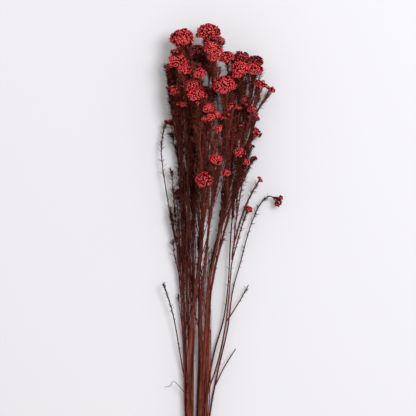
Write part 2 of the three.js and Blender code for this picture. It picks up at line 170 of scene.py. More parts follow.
def tube_patch(paths, radii, sides, shade=0.5, finish=0, swell=0.0):
    """The patch of many closed tubes; `shade` may be one value for each tube."""
    count, rings = paths.shape[:2]
    points = tubes(paths, radii, sides, swell)
    shades = np.repeat(np.broadcast_to(shade, count), points.shape[1])
    along = np.concatenate([np.repeat(np.linspace(0, 1, rings), sides), [0, 1]])
    return patch(points, tube_faces(count, rings, sides), shades, np.tile(along, count), finish)


# %% [markdown]
# ## Reading the stems
# The CAD stems are solids, and bark has to follow their curves. The curves could be typed in again, but
# then they would drift from the CAD, so they are measured. Planes square to the bunch cut each solid into
# small closed loops, one for each stem or branch that passes there. The middle of a loop is a point of the
# stem's curve, and its mean radius is the stem's thickness there.

# %% Cut a solid into loops
def welded(node):
    """A CAD node's points without repeats, and its triangles as rows of three point numbers."""
    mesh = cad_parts[node].data
    mesh.calc_loop_triangles()
    points = np.empty(len(mesh.vertices) * 3)
    mesh.vertices.foreach_get("co", points)
    corners = np.empty(len(mesh.loop_triangles) * 3, np.int32)
    mesh.loop_triangles.foreach_get("vertices", corners)
    rounded = np.round(points.reshape(-1, 3), 6)
    unique, number = np.unique(rounded, axis=0, return_inverse=True)
    return unique, number.ravel()[corners].reshape(-1, 3)


def cut_loops(points, triangles, plane):
    """Where the plane y = plane cuts the solid: the middle and mean radius of each closed loop.
    Crossed edges that share a triangle get the smallest number among them until nothing changes."""
    over = points[:, 1] > plane
    crossed = triangles[over[triangles].any(1) & ~over[triangles].all(1)]
    if not len(crossed):
        return []
    edges = np.sort(np.stack([crossed, np.roll(crossed, -1, axis=1)], -1), axis=-1)
    cuts = edges[over[edges[..., 0]] != over[edges[..., 1]]]
    unique, number = np.unique(cuts, axis=0, return_inverse=True)
    pairs = number.reshape(-1, 2)
    label = np.arange(len(unique))
    for _ in range(len(unique)):
        least = label[pairs].min(1)
        before = label.copy()
        np.minimum.at(label, pairs[:, 0], least)
        np.minimum.at(label, pairs[:, 1], least)
        if (label == before).all():
            break
    low, high = points[unique[:, 0]], points[unique[:, 1]]
    share = (plane - low[:, 1]) / (high[:, 1] - low[:, 1])
    places = low + (high - low) * share[:, None]
    loops = []
    for name in np.unique(label):
        loop = places[label == name]
        middle = (loop.min(0) + loop.max(0)) / 2
        loops.append((middle, np.linalg.norm(loop - middle, axis=1).mean()))
    return loops


# %% [markdown]
# ## From loops to strands
# A stem with its branches gives many loops in every plane, and nothing says which loop goes on into which.
# Taking the nearest would jump between stems that cross, so each strand first says where it expects its
# next point, and takes the loop nearest to that. A loop that no strand takes is the start of a branch.

# %% Follow the loops
SLICE = 5 * MM
REACH = 7 * MM  # how far a strand may move sideways from its foreseen place in one slice
MARGIN = 0.2 * MM  # the first plane lies this far above the foot
SHORTEST = 4  # points in the shortest strand that is kept


def foreseen(strand):
    """Where the next loop of a strand should be, going on as its last two points do."""
    last = strand["points"][-1]
    before = strand["points"][max(len(strand["points"]) - 2, 0)]
    return last + (last - before)


def read_strands(node):
    """Every stem and branch of one CAD node, as a list of points and radii from its foot to its tip.
    A loop that no strand foresaw starts a branch, which begins inside the strand nearest to it."""
    points, triangles = welded(node)
    low, high = points[:, 1].min(), points[:, 1].max()
    growing, done = [], []
    for plane in np.arange(low + MARGIN, high, SLICE):
        loops = cut_loops(points, triangles, plane)
        still = []
        for strand in sorted(growing, key=lambda one: -one["radii"][-1]):
            gaps = [np.linalg.norm(middle - foreseen(strand)) for middle, _ in loops]
            if gaps and min(gaps) < REACH:
                middle, radius = loops.pop(int(np.argmin(gaps)))
                strand["points"].append(middle)
                strand["radii"].append(radius)
                still.append(strand)
            else:
                done.append(strand)
        for middle, radius in loops:
            strand = {"node": node, "points": [middle], "radii": [radius], "branch": bool(growing)}
            if growing:
                nearest = min(growing, key=lambda one: np.linalg.norm(one["points"][-1] - middle))
                strand["points"].insert(0, nearest["points"][-2 if nearest in still else -1])
                strand["radii"].insert(0, radius)
            still.append(strand)
        growing = still
    return [even_out(strand) for strand in done + growing if len(strand["points"]) >= SHORTEST]


def even_out(strand):
    """A branch's first three radii become the median of its first six, as they lie inside its stem. No
    radius may be much more than the one before it, as a slanted cut makes the loop too long. Then each
    inner point and radius becomes the mean of itself and its neighbours, weighted 1, 2, 1, twice."""
    radii = np.array(strand["radii"])
    if strand["branch"]:
        radii[:3] = np.median(radii[:min(6, len(radii))])
    strand["radii"] = np.minimum.accumulate(radii * 1.001 ** np.arange(len(radii)))
    for key in ("points", "radii"):
        values = np.array(strand[key])
        for _ in range(2):
            values[1:-1] = (values[:-2] + 2 * values[1:-1] + values[2:]) / 4
        strand[key] = values
    return strand


stem_nodes = sorted(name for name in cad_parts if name.startswith("stem"))
strands = {node: read_strands(node) for node in stem_nodes}
all_strands = [strand for found in strands.values() for strand in found]
print({node: len(found) for node, found in strands.items()}, "strands")

# %% [markdown]
# ## Reading the heads
# A CAD head is a turned solid: a cone under a dome. Only its points are known, so its place and direction
# are measured too. Its own axis is the direction in which its points spread differently from the two
# others, its rim is where it is widest, and the rim lies nearer to the crown than to the neck, which tells
# which end is up.

# %% Find each head's axis, rim and neck
def read_head(node):
    """Middle of the rim, radius, unit axis from neck to crown, and neck point of a head."""
    points, _ = welded(node)
    centre = points.mean(0)
    spread, axes = np.linalg.eigh(np.cov((points - centre).T))
    odd = 0 if spread[1] - spread[0] > spread[2] - spread[1] else 2
    axis = axes[:, odd]
    height = (points - centre) @ axis
    out = np.linalg.norm((points - centre) - height[:, None] * axis, axis=1)
    rim = height[np.argmax(out)]
    if height.max() - rim > rim - height.min():
        axis, height, rim = -axis, -height, -rim
    middle = centre + rim * axis
    return {
        "node": node, "middle": middle, "radius": out.max(), "axis": axis,
        "neck": centre + height.min() * axis,
    }


head_nodes = sorted(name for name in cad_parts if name.startswith("head"))
heads = [read_head(node) for node in head_nodes]
print(len(heads), "heads, radius in mm from", round(min(h["radius"] for h in heads) / MM, 1),
      "to", round(max(h["radius"] for h in heads) / MM, 1))

# %% [markdown]
# ## Colours that vary
# Dye takes unevenly, and bark is streaked. Every finish could have its own nodes for that, but they would
# all be alike, so one node group serves them all. It mixes a dark and a light colour by a noise stretched
# along the bunch and by the shade that each point carries, which also holds painted shade: darker low down,
# in the grooves of the bark and inside the heads. It puts out the colour, and a height for bumps. Materials
# place the group with their own colours and scales.

# %% A node group for uneven dye and painted shade
def new_socket(group, name, kind, way="INPUT", value=None):
    """Adds a named input or output to a node group, with a value for when nothing is linked to it."""
    socket = group.interface.new_socket(name=name, in_out=way, socket_type=kind)
    if value is not None:
        socket.default_value = value


def dye_and_shade_group():
    """Colour = mix(dark, light, shade * weight + noise * (1 - weight)); height = the same noise."""
    group = bpy.data.node_groups.new("Uneven dye and painted shade", "ShaderNodeTree")
    new_socket(group, "Dark", "NodeSocketColor")
    new_socket(group, "Light", "NodeSocketColor")
    new_socket(group, "Shade weight", "NodeSocketFloat", value=0.5)
    new_socket(group, "Noise scale", "NodeSocketFloat", value=400.0)
    new_socket(group, "Stretch", "NodeSocketVector", value=(1.0, 1.0, 1.0))
    new_socket(group, "Color", "NodeSocketColor", "OUTPUT")
    new_socket(group, "Height", "NodeSocketFloat", "OUTPUT")
    nodes, links = group.nodes, group.links
    inputs, outputs = nodes.new("NodeGroupInput"), nodes.new("NodeGroupOutput")
    place = nodes.new("ShaderNodeTexCoord")
    stretched = nodes.new("ShaderNodeVectorMath")
    stretched.operation = "MULTIPLY"
    links.new(place.outputs["Object"], stretched.inputs[0])
    links.new(inputs.outputs["Stretch"], stretched.inputs[1])
    noise = nodes.new("ShaderNodeTexNoise")
    noise.inputs["Detail"].default_value = 5.0
    noise.inputs["Roughness"].default_value = 0.65
    links.new(stretched.outputs[0], noise.inputs["Vector"])
    links.new(inputs.outputs["Noise scale"], noise.inputs["Scale"])
    contrast = nodes.new("ShaderNodeMapRange")
    contrast.inputs["From Min"].default_value = 0.3
    contrast.inputs["From Max"].default_value = 0.7
    links.new(noise.outputs["Fac"], contrast.inputs["Value"])
    shade = nodes.new("ShaderNodeAttribute")
    shade.attribute_name = "shade"
    weigh = nodes.new("ShaderNodeMix")
    links.new(inputs.outputs["Shade weight"], weigh.inputs["Factor"])
    links.new(contrast.outputs["Result"], weigh.inputs["A"])
    links.new(shade.outputs["Fac"], weigh.inputs["B"])
    colour = nodes.new("ShaderNodeMix")
    colour.data_type = "RGBA"
    links.new(weigh.outputs["Result"], colour.inputs["Factor"])
    links.new(inputs.outputs["Dark"], colour.inputs["A"])
    links.new(inputs.outputs["Light"], colour.inputs["B"])
    links.new(colour.outputs["Result"], outputs.inputs["Color"])
    links.new(contrast.outputs["Result"], outputs.inputs["Height"])
    return group


DYE_AND_PAINTED_SHADE = dye_and_shade_group()
print("node group:", DYE_AND_PAINTED_SHADE.name, "with", len(DYE_AND_PAINTED_SHADE.nodes), "nodes")


# %% [markdown]
# ## The finishes
# Everything here is dull: fibrous bark, needle leaves, papery buds with a painted highlight on each tip and
# painted shade at each foot, thin stalks, pale cut wood and a tan elastic. Painted images would blur on such
# thin parts, so each finish is a Principled shader fed by the group for uneven dye and painted shade. Fixed
# values sit on the shader itself.

# %% Make the materials
def finish(name, dark, light, weight, scale, stretch, roughness, bump=0.3, depth=0.1 * MM, shine=0.05):
    """A material whose colour and bump come from the group for uneven dye and painted shade. `weight` is the
    part that a point's shade has in the colour, against the noise. A stretch under 1 draws the noise out
    along that axis."""
    material = bpy.data.materials.new(name)
    material.use_nodes = True
    nodes, links = material.node_tree.nodes, material.node_tree.links
    shader = nodes["Principled BSDF"]
    shader.inputs["Roughness"].default_value = roughness
    shader.inputs["Specular IOR Level"].default_value = shine
    dye = nodes.new("ShaderNodeGroup")
    dye.node_tree = DYE_AND_PAINTED_SHADE
    dye.inputs["Dark"].default_value = (*dark, 1)
    dye.inputs["Light"].default_value = (*light, 1)
    dye.inputs["Shade weight"].default_value = weight
    dye.inputs["Noise scale"].default_value = scale
    dye.inputs["Stretch"].default_value = stretch
    relief = nodes.new("ShaderNodeBump")
    relief.inputs["Strength"].default_value = bump
    relief.inputs["Distance"].default_value = depth
    links.new(dye.outputs["Height"], relief.inputs["Height"])
    links.new(relief.outputs["Normal"], shader.inputs["Normal"])
    links.new(dye.outputs["Color"], shader.inputs["Base Color"])
    return material


FOOT_SHADE_FADES = (0.86, 0.46)  # places along a bud between which the painted shade of its foot takes over, going down
TIP_HIGHLIGHT_FADES = (0.91, 1.0)  # and between which the painted highlight of its tip takes over, going up


def paint_foot_shade_and_tip_highlight(material, shaded_foot_colour, highlight_tip_colour):
    """Paints shade on the foot of each bud and a highlight on its tip: a bud starts in the shaded foot
    colour and ends in the highlight colour, by how far along it a point is. The brighter the bud, the
    stronger its painted highlight."""
    nodes, links = material.node_tree.nodes, material.node_tree.links
    shader = nodes["Principled BSDF"]
    colour = shader.inputs["Base Color"].links[0].from_socket
    along, shade = nodes.new("ShaderNodeAttribute"), nodes.new("ShaderNodeAttribute")
    along.attribute_name, shade.attribute_name = "along", "shade"
    bright = nodes.new("ShaderNodeMapRange")
    bright.inputs["From Max"].default_value = 0.6
    bright.inputs["To Min"].default_value = 0.15
    bright.inputs["To Max"].default_value = 0.95
    links.new(shade.outputs["Fac"], bright.inputs["Value"])
    for (start, end), other, takes in ((FOOT_SHADE_FADES, shaded_foot_colour, None), (TIP_HIGHLIGHT_FADES, highlight_tip_colour, bright)):
        ramp = nodes.new("ShaderNodeMapRange")
        ramp.interpolation_type = "SMOOTHSTEP"
        ramp.inputs["From Min"].default_value = start
        ramp.inputs["From Max"].default_value = end
        if takes:
            links.new(takes.outputs["Result"], ramp.inputs["To Max"])
        links.new(along.outputs["Fac"], ramp.inputs["Value"])
        mix = nodes.new("ShaderNodeMix")
        mix.data_type = "RGBA"
        mix.inputs["B"].default_value = (*other, 1)
        links.new(ramp.outputs["Result"], mix.inputs["Factor"])
        links.new(colour, mix.inputs["A"])
        colour = mix.outputs["Result"]
    links.new(colour, shader.inputs["Base Color"])


bark = finish("Fibrous bark", dark=(0.008, 0.002, 0.002), light=(0.32, 0.066, 0.046), weight=0.55,
              scale=480, stretch=(1, 0.04, 1), roughness=0.7, bump=0.8, depth=0.3 * MM)
needle = finish("Needle leaf", dark=(0.005, 0.001, 0.001), light=(0.25, 0.056, 0.040), weight=0.85,
                scale=500, stretch=(1, 1, 1), roughness=0.8)
bud = finish("Papery bud", dark=(0.03, 0.0003, 0.0006), light=(0.84, 0.007, 0.018), weight=0.85,
             scale=700, stretch=(1, 1, 1), roughness=0.45, shine=0.06)
# painted shade at the foot of every bud, and a painted highlight on its tip
paint_foot_shade_and_tip_highlight(bud, shaded_foot_colour=(0.008, 0.0002, 0.0002), highlight_tip_colour=(1.0, 0.37, 0.36))
stalk = finish("Thin stalk", dark=(0.008, 0.001, 0.001), light=(0.20, 0.022, 0.018), weight=0.7,
               scale=700, stretch=(1, 0.3, 1), roughness=0.75)
cut_wood = finish("Cut wood", dark=(0.42, 0.24, 0.14), light=(0.72, 0.52, 0.34), weight=0.3,
                  scale=1500, stretch=(1, 1, 1), roughness=0.8)
elastic = finish("Elastic", dark=(0.42, 0.27, 0.13), light=(0.62, 0.44, 0.24), weight=0.3,
                 scale=1200, stretch=(1, 0.2, 1), roughness=0.45)
print("finishes:", [material.name for material in bpy.data.materials])

# %% [markdown]
# ## Where the bunch is thick
# Leafy twigs belong between other stems, not on the lone twigs that stand out at the sides. They could be
# sorted by hand, but counting does it for any place: the number of strand points within 16 mm says how
# crowded it is there, and their middle says which way is inwards. The canopy is the highest head over a
# place: no twig grows past it.

# %% Crowd and canopy
every_point = np.concatenate([strand["points"] for strand in all_strands])
head_middles = np.array([head["middle"] for head in heads])
head_radii = np.array([head["radius"] for head in heads])
CROWD_REACH = 16 * MM
SPARSE = 16  # a place with fewer strand points than this near it stands alone


def crowd(points):
    """How many strand points lie near each given point, and the middle of them."""
    near = np.linalg.norm(points[:, None] - every_point[None], axis=2) < CROWD_REACH
    return near.sum(1), (near @ every_point) / np.maximum(near.sum(1, keepdims=True), 1)


def canopy(across):
    """The highest place along the bunch that a head reaches over each given place across it."""
    over = np.abs(across[:, None] - head_middles[None, :, 0]) < head_radii[None] + 4 * MM
    return np.where(over, head_middles[None, :, 1], -1.0).max(1)


def level(points):
    """How far up the bunch a point lies, from 0 at the cut ends to 1 at the highest head."""
    return (points[..., 1] - cad_low[1]) / (cad_high[1] - cad_low[1])


def directions(points):
    """The unit direction of a path at each of its points."""
    return unit(np.gradient(points, axis=0))


def random_square(rng, along):
    """Unit vectors square to the given directions, at random angles round them."""
    return unit(np.cross(along, rng.normal(size=along.shape)))


def any_phase(rng):
    """A random starting angle for a wave or a turn, in radians."""
    return rng.uniform(0, 6.3)


print("strand points:", len(every_point))

# %% [markdown]
# ## Buds
# A bud is a papery egg about 2.5 mm wide and 3 to 4 mm long. Copies of one object could be scattered, but
# each has its own shade and size, so all buds share one small grid of six sides, which is turned, scaled
# and placed for each.

# %% One bud, many times
BUD_SIDES = 6
BUD_OUTLINE = np.array([[0.30, 0.06], [0.85, 0.36], [1.0, 0.66], [0.58, 0.93]])
BUD_WIDTH = 2.5 * MM
BUD_FACES = (len(BUD_OUTLINE) + 1) * BUD_SIDES
print("faces of one bud:", BUD_FACES)


def bud_patch(places, outward, size, length, shade, rng):
    """Buds that stand on the given places. A point of a bud is place + length * h * outward +
    size / 2 * r * (cos a * side + sin a * over), where (r, h) runs along the outline and a round it."""
    count = len(places)
    side = random_square(rng, outward)
    over = np.cross(outward, side)
    angle = 2 * np.pi * np.arange(BUD_SIDES) / BUD_SIDES
    spoke = side[:, None] * np.cos(angle)[:, None] + over[:, None] * np.sin(angle)[:, None]
    out = (size * 0.5)[:, None, None, None] * BUD_OUTLINE[:, 0][:, None, None] * spoke[:, None]
    up = length[:, None, None, None] * BUD_OUTLINE[:, 1][:, None, None] * outward[:, None, None]
    rings = places[:, None, None] + out + up
    tip = places + length[:, None] * outward
    points = np.concatenate([rings.reshape(count, -1, 3), places[:, None], tip[:, None]], axis=1)
    along = np.concatenate([np.repeat(BUD_OUTLINE[:, 1], BUD_SIDES), [0, 1]])
    faces = tube_faces(count, len(BUD_OUTLINE), BUD_SIDES)
    return patch(points, faces, np.repeat(shade, points.shape[1]), np.tile(along, count), 0)


# %% [markdown]
# ## Flower heads
# A head is a corymb: stalks fan out from the neck, each carries a small cluster, and the clusters make a
# lumpy dome. Random places would leave holes and heaps, so buds spread over the dome by the golden angle,
# as seeds do in a sunflower. The helpers here give places on a dome round +Z, turn them to any axis, bend
# stalks to them, and make the heart of packed stalks that fills a full dome, near-black as painted shade
# inside it.

# %% Spread points over a dome
GOLDEN = np.pi * (3 - 5 ** 0.5)


def cap_directions(count, widest, rng, jitter):
    """Unit vectors spread evenly over a cap round +Z that opens to `widest` radians: the k-th one has
    its height falling evenly from 1 to cos(widest), and turns by k golden angles."""
    k = np.arange(count) + 0.5
    height = 1 - (1 - np.cos(widest)) * k / count
    turn = GOLDEN * k + any_phase(rng)
    out = np.sqrt(1 - height ** 2)
    spots = np.stack([out * np.cos(turn), out * np.sin(turn), height], -1)
    return unit(spots + rng.normal(0, jitter, spots.shape))


def turned_to(axis, vectors):
    """Vectors given round +Z, turned so that +Z becomes the axis."""
    axis = unit(np.asarray(axis))
    side = unit(np.cross(axis, np.eye(3)[np.argmin(np.abs(axis))]))
    return vectors @ np.stack([side, np.cross(axis, side), axis])


def bent_stalks(starts, ends, outward, rings=5):
    """Curves from start to end that arrive along `outward`: start + u * chord, pulled sideways by
    u * (1 - u) so that they rise before they spread."""
    u = np.linspace(0, 1, rings)[None, :, None]
    chord = ends - starts
    lag = chord - outward * np.sum(chord * outward, axis=1, keepdims=True)
    return starts[:, None] + u * chord[:, None] - 0.55 * (u * (1 - u)) * lag[:, None]


DOME_UP, DOME_DOWN = 0.80, 0.66  # heights of the upper and the lower half in radii


def heart(middle, axis, radius):
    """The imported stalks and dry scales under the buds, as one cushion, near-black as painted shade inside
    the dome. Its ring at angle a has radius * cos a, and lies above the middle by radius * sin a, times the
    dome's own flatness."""
    angle = np.radians(np.linspace(-80, 80, 9))
    flat = np.where(angle > 0, DOME_UP, DOME_DOWN)
    path = middle + (radius * np.sin(angle) * flat)[:, None] * axis
    # shade 0.05 on the stalk finish: a near-black painted shade
    return tube_patch(path[None], (radius * np.cos(angle))[None], 14, 0.05, finish=1)


# %% [markdown]
# ## One dome
# Buds all at one height would make a smooth ball. Each bud belongs to the nearest cluster, sinks a little
# with its distance from that cluster's middle, and leans away from it, which makes the dome lumpy. A loose
# dome leaves buds out, has no heart, and shows a thin stalk under every bud instead.

# %% Build a dome
WIDEST = np.radians(115)  # how far down its sides a dome carries buds
BUD_SPACING = 2.65 * MM
PACKING = 0.87  # the area of one bud's place is this share of its spacing squared
BUDS_PER_CLUSTER = 12
STALK_RADII = np.linspace(0.60, 0.36, 5) * MM
THIN_STALK = 0.26 * MM
HEART_DEPTH = 3 * MM  # how far below the bud tips a heart lies
CLEAR = 0.8 * MM  # buds lower than this would touch the table


def squashed(vectors):
    """Vectors round +Z with their heights times the flatness of the upper or the lower half."""
    ones = np.ones(len(vectors))
    return vectors * np.stack([ones, ones, np.where(vectors[:, 2] > 0, DOME_UP, DOME_DOWN)], -1)


def dome(neck, middle, axis, radius, rng, tone=0.5, share=1.0, stretch=1.0):
    """Patches of one head: stalks from the neck to the clusters, the buds, and for a full head its heart,
    for a loose head stalks to the buds.
    `share` leaves buds out at random for a loose head, and `stretch` makes its buds longer."""
    area = 2 * np.pi * (1 - np.cos(WIDEST)) * radius ** 2 * DOME_UP
    count = max(4, round(area / (PACKING * BUD_SPACING ** 2)))
    ways = cap_directions(count, WIDEST, rng, 0.06)
    clusters = cap_directions(max(2, round(count / BUDS_PER_CLUSTER)), WIDEST * 0.9, rng, 0.08)
    nearness = ways @ clusters.T
    own = np.argmax(nearness, axis=1)
    apart = np.arccos(np.clip(nearness.max(1), -1, 1))
    reach = radius * (1.02 - 0.45 * apart ** 2 + rng.normal(0, 0.025, count))
    reach *= 1 + 0.06 * rng.normal(size=len(clusters))[own]
    tips = middle + turned_to(axis, squashed(ways) * reach[:, None])
    lean = unit(squashed(ways) + 0.5 * (ways - clusters[own]) + rng.normal(0, 0.06, ways.shape))
    outward = turned_to(axis, lean)
    size = BUD_WIDTH * rng.uniform(0.82, 1.10, count)
    length = size * 1.2 * stretch * rng.uniform(0.9, 1.1, count)
    places = tips - outward * length[:, None]
    bases = middle + turned_to(axis, squashed(clusters) * radius * 0.42)
    kept = (rng.uniform(size=count) < share) & (tips[:, 2] > CLEAR) & (places[:, 2] > CLEAR)
    if not kept.any():
        return []
    bases[:, 2] = np.maximum(bases[:, 2], 1 * MM)
    places, outward, size, length, own = (rows[kept] for rows in (places, outward, size, length, own))
    shade = np.clip(rng.normal(tone, 0.24, len(places)), 0, 1)
    main = tube_patch(bent_stalks(np.repeat(neck[None], len(bases), 0), bases, unit(bases - neck)),
                      STALK_RADII * np.ones((len(bases), 1)), 5, 0.3, finish=1)
    buds = bud_patch(places, outward, size, length, shade, rng)
    if share == 1.0:
        return [main, buds, heart(middle, axis, max(radius - HEART_DEPTH, 0.4 * radius))]
    thin = tube_patch(bent_stalks(bases[own], places + outward * length[:, None] * 0.2, outward),
                      np.full((len(places), 5), THIN_STALK), 3, 0.6, finish=1)
    return [main, buds, thin]


# %% [markdown]
# ## From CAD heads to domes
# Each CAD head gives its dome a middle, a size and a direction. A short stalk joins the dome's neck to the
# nearest branch tip. Heads low in the bunch are painted darker, as shade, heads that face up show
# longer buds, and a few at the sides are loose, with thin stalks that can be seen between buds. One round
# dome would look like a ball, as real heads are uneven, so smaller domes, the lobes, stand out of each.
# Below one head near the top, four low lobes, painted dark as shade, fill the hollow between its neighbours.

# %% Build the heads
# the share of its buds that each loose head keeps
LOOSE = {"head_13a": 0.34, "head_10c": 0.6, "head_10d": 0.55, "head_11a": 0.55, "head_11b": 0.7,
         "head_08e": 0.7, "head_06c": 0.8, "head_02d": 0.6}
# heads that lie in the shade of others
SHADED_HEADS = ("head_09a", "head_08d", "head_10b", "head_02e", "head_11b", "head_05d", "head_11c")
# how far below their necks the stalks of the open fans begin
FAN_LENGTH = {"head_10c": 12 * MM, "head_10d": 18 * MM, "head_11a": 16 * MM, "head_11b": 14 * MM}
UPPER_LAYER = 70 * MM  # heads this high above the table are the brightest; painted shade darkens those lower down
strand_ends = np.array([strand["points"][-1] for strand in all_strands])
strand_end_radii = np.array([strand["radii"][-1] for strand in all_strands])
strand_end_ways = np.array([directions(strand["points"])[-1] for strand in all_strands])

for head in heads:
    nearest = int(np.argmin(np.linalg.norm(strand_ends - head["neck"], axis=1)))
    all_strands[nearest].setdefault("heads", []).append(head)


def link_stalk(neck, axis):
    """A tube from the nearest strand end to the neck, leaving and arriving in their directions: a
    cubic curve with its two inner control points a third of the way out along each direction. Also
    gives the gap that it bridges."""
    gap = np.linalg.norm(strand_ends - neck, axis=1)
    nearest = int(np.argmin(gap))
    way = strand_end_ways[nearest]
    start = strand_ends[nearest] - way * 1.0 * MM
    reach = np.linalg.norm(neck - start) / 3
    control = [start, start + way * reach, neck - axis * reach, neck + axis * 0.5 * MM]
    u = np.linspace(0, 1, 9)[:, None]
    weights = [(1 - u) ** 3, 3 * u * (1 - u) ** 2, 3 * u ** 2 * (1 - u), u ** 3]
    path = sum(weight * point for weight, point in zip(weights, control))
    radii = np.linspace(min(strand_end_radii[nearest], 1.1 * MM), 0.85 * MM, 9)
    return tube_patch(path[None], radii[None], 8, 0.35, finish=2), gap[nearest]


LOW_LOBE = -0.5  # a lobe this far down is painted darker, as shade
# smaller domes of the most uneven heads: across, along and up from the middle, and size, in head radii
LOBES = {
    "head_04a": [(0.0, -0.9, -0.5, 0.8), (0.85, -1.0, -0.5, 0.85), (0.45, -1.9, -0.5, 0.75),
                 (1.35, -2.0, -0.5, 0.70)],
    "head_06b": [(-0.10, 0.50, -0.15, 0.75), (0.15, -0.75, -0.10, 0.80), (0.75, -0.10, -0.20, 0.60)],
    "head_02c": [(0.85, -0.90, -0.10, 0.75), (-0.60, 0.35, -0.10, 0.65), (0.35, -0.40, 0.0, 0.70)],
    "head_07b": [(0.25, -1.15, -0.20, 0.80), (1.20, -0.85, -0.30, 0.65), (-0.70, -1.50, -0.40, 0.50)],
    "head_07c": [(0.95, 0.15, -0.10, 0.85), (-0.40, 0.50, -0.20, 0.70), (0.30, -0.60, -0.20, 0.60)],
    "head_07d": [(-0.90, 0.30, -0.10, 0.75), (0.50, 0.50, -0.15, 0.65)],
    "head_09b": [(-0.35, -0.75, -0.25, 0.70), (0.60, 0.10, -0.20, 0.60)],
}


def lobes(head, rng):
    """The smaller domes of a head. Where none are given, two stand out to the sides, a little low."""
    if head["node"] in LOBES:
        return np.array(LOBES[head["node"]])
    turn = rng.uniform(0, 2 * np.pi, 2)
    offsets = turned_to(head["axis"], np.stack([np.cos(turn), np.sin(turn), np.full(2, -0.3)], -1)) * 0.45
    return np.column_stack([offsets, rng.uniform(0.5, 0.64, 2)])


def build_head(head, number):
    """One head with its lobes and its link stalk as a piece, and the gap that the stalk bridges."""
    rng = np.random.default_rng(100 + number)
    height = np.clip(head["middle"][2] / UPPER_LAYER, 0, 1)
    # painted shade: the lower a head lies above the table the darker it is, and heads in the shade of others
    # darker still
    tone = 0.44 + 0.36 * height + rng.normal(0, 0.05) - 0.34 * (head["node"] in SHADED_HEADS)
    stretch = 1 + 0.45 * np.clip((head["axis"][2] - 0.45) / 0.2, 0, 1)
    share = LOOSE.get(head["node"], 1.0)
    radius = head["radius"] + 0.4 * MM
    middle = head["middle"] - 0.14 * radius * head["axis"]
    neck = head["neck"] - FAN_LENGTH.get(head["node"], 0) * head["axis"]
    patches = dome(neck, middle, head["axis"], radius, rng, tone, share, stretch)
    for *offset, size in lobes(head, rng):
        offset = np.array(offset)
        # painted shade: low lobes are darker
        lobe_tone = tone - 0.3 * (offset[2] <= LOW_LOBE)
        patches += dome(neck, middle + offset * radius, unit(head["axis"] + 0.3 * offset),
                        radius * size, rng, lobe_tone, share, stretch)
    link, gap = link_stalk(head["neck"], head["axis"])
    piece = add_piece(head["node"] + "_buds", patches + [link], [bud, stalk, bark], [head["node"]])
    return piece, gap


built = [build_head(head, number) for number, head in enumerate(heads)]
print("head faces:", sum(len(piece.data.polygons) for piece, _ in built),
      "widest gap to a branch tip in mm:", round(max(gap for _, gap in built) / MM, 1))

# %% [markdown]
# ## Fine leafy twigs
# Between the main branches a real bunch is filled with hair-thin leafy side twigs, which rise almost
# along the stem they grow from. Blender's hair could do it, but it would have to be turned into a mesh for
# the export, and would not know the heads. So they are grown here: each starts inside a strand, leaves it
# at a small angle, mostly towards the middle of the bunch, and ends before it would hide a head. Strands
# near the table are pressed flat by the ones above, and so are their twigs.

# %% Grow side twigs
TWIG_RINGS = 10
LOFTY = 0.8  # a strand that stands alone lower than this level is a bare twig at the side of the bunch
TWIGS_PER_MM = 0.145
PRESSED = 34 * MM  # strands lower than this carry more twigs, spread wider and pressed flat
AIRY = 0.55  # share of twigs on the strands that end at the open right side,
OPEN_SIDE = 22 * MM  # which is this far to the right of the middle
INWARD_PULL = 130  # how much a twig turns inwards, for each metre that it starts from the middle
ROOM = 18 * MM  # the least room below the canopy in which a twig grows
LOWEST = 1.5 * MM
LYING = 10 * MM  # heads lower than this lie on the table, under the twigs


def end_under_heads(paths, radii, own=None):
    """Shortens each path so that it ends where it would first pass over a head, as the heads open
    above the leaves. Paths that would be left too short are dropped. A path may enter its own head."""
    rings = paths.shape[1]
    flat = np.linalg.norm(paths[:, :, None, :2] - head_middles[:, :2], axis=-1)
    over = (flat < 0.9 * head_radii) & (paths[:, :, 2:3] > head_middles[:, 2] - 0.3 * head_radii)
    over &= head_middles[:, 2] > LYING
    if own is not None:
        over[:, :, own] = False
    over = over.any(2)
    last = np.where(over.any(1), np.argmax(over, axis=1) - 1, rings - 1)
    kept = last >= 3
    paths, last = paths[kept], last[kept]
    at = last[:, None] * np.linspace(0, 1, rings)
    low = np.minimum(at.astype(int), rings - 2)
    share = (at - low)[..., None]
    rows = np.arange(len(paths))[:, None]
    return paths[rows, low] * (1 - share) + paths[rows, low + 1] * share, radii[kept]


